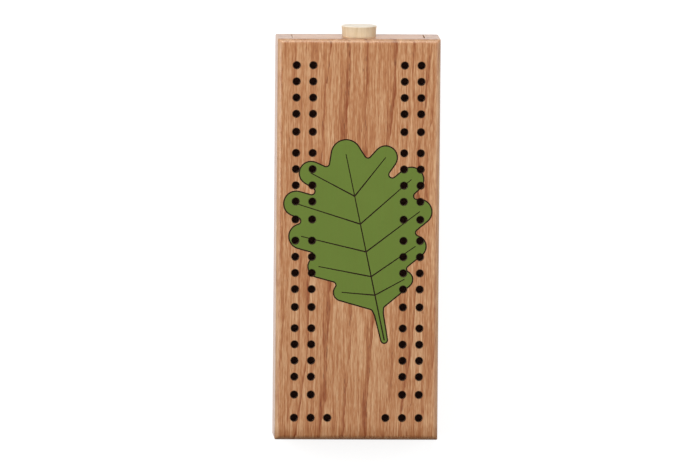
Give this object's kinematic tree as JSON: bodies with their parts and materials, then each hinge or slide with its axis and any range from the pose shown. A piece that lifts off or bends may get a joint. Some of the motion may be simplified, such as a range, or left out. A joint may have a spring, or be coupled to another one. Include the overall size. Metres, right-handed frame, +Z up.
{
  "type": "cribbage box with drawer",
  "caption": "Long wooden box whose top is a drilled peg-scoring board with a painted leaf, and whose end holds a sliding drawer with a round knob, a card well and a peg well.",
  "frame": {"origin": "on the table under the middle of the whole object, knob included", "axes": "+Z up through the peg face, -Y the way the drawer comes out, X across the box"},
  "size_m": [0.1028, 0.261, 0.0366],
  "materials": {
    "oak_board": "satin oiled red oak, burnt peg holes",
    "oak_case": "satin oiled red oak",
    "maple": "sanded pale maple",
    "pale_knob_wood": "turned, sanded",
    "birch_plywood": "sanded plywood",
    "green_paint": "flat matt paint",
    "brass": "turned, polished",
    "steel": "turned, polished",
    "nickel_magnet": "nickel plated",
    "black_rubber": "moulded matt"
  },
  "bodies": {
    "case": {"top_board": "oak_board", "leaf_paint": "green_paint", "left_rail": "oak_case", "right_rail": "oak_case", "end_block": "oak_case", "bottom_board": "oak_case", "bottom_screws": "brass", "drawer_stops": "maple", "case_magnet": "nickel_magnet", "rubber_feet": "black_rubber"},
    "drawer": {"drawer_front": "oak_case", "drawer_side_left": "maple", "drawer_side_right": "maple", "drawer_back": "maple", "drawer_bottom": "birch_plywood", "drawer_divider": "maple", "drawer_brads": "steel", "drawer_magnet": "nickel_magnet", "knob": "pale_knob_wood", "brass_pegs": "brass", "steel_pegs": "steel"}
  },
  "joints": [
    {"name": "drawer_slide", "type": "slide", "parent": "case", "child": "drawer", "axis": [0, -1, 0], "range_m": [0, 0.2]}
  ]
}
